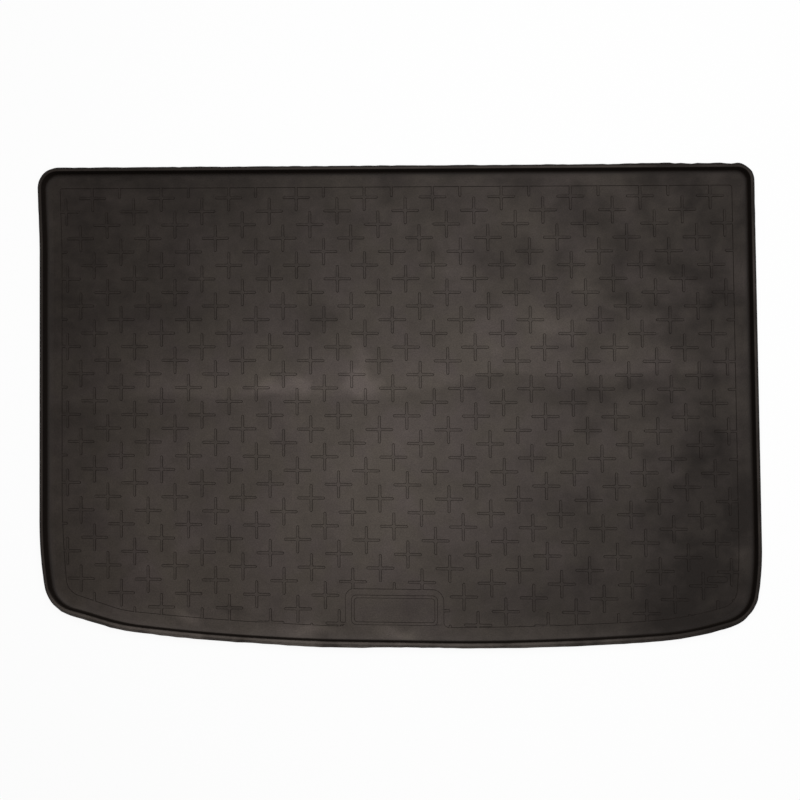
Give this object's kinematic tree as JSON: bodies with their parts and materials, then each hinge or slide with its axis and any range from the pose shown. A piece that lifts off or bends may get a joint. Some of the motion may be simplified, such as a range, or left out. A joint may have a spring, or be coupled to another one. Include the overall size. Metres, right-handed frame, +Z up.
{
  "type": "car boot liner",
  "caption": "Moulded rubber tray liner for a car boot: flat ribbed floor inside a smooth border, upstanding lip all round, straight rear edge and bowed front edge.",
  "frame": {"origin": "middle of the outline's bounding box, on the flat underside", "axes": "+X across the car along the long side, +Y from the bowed front edge to the straight rear edge, +Z up out of the tray"},
  "size_m": [1.031, 0.696, 0.02],
  "materials": {
    "rubber": "matt brown-black moulded rubber with a faint cloudy sheen"
  },
  "bodies": {
    "root": {"liner": "rubber"}
  },
  "joints": []
}
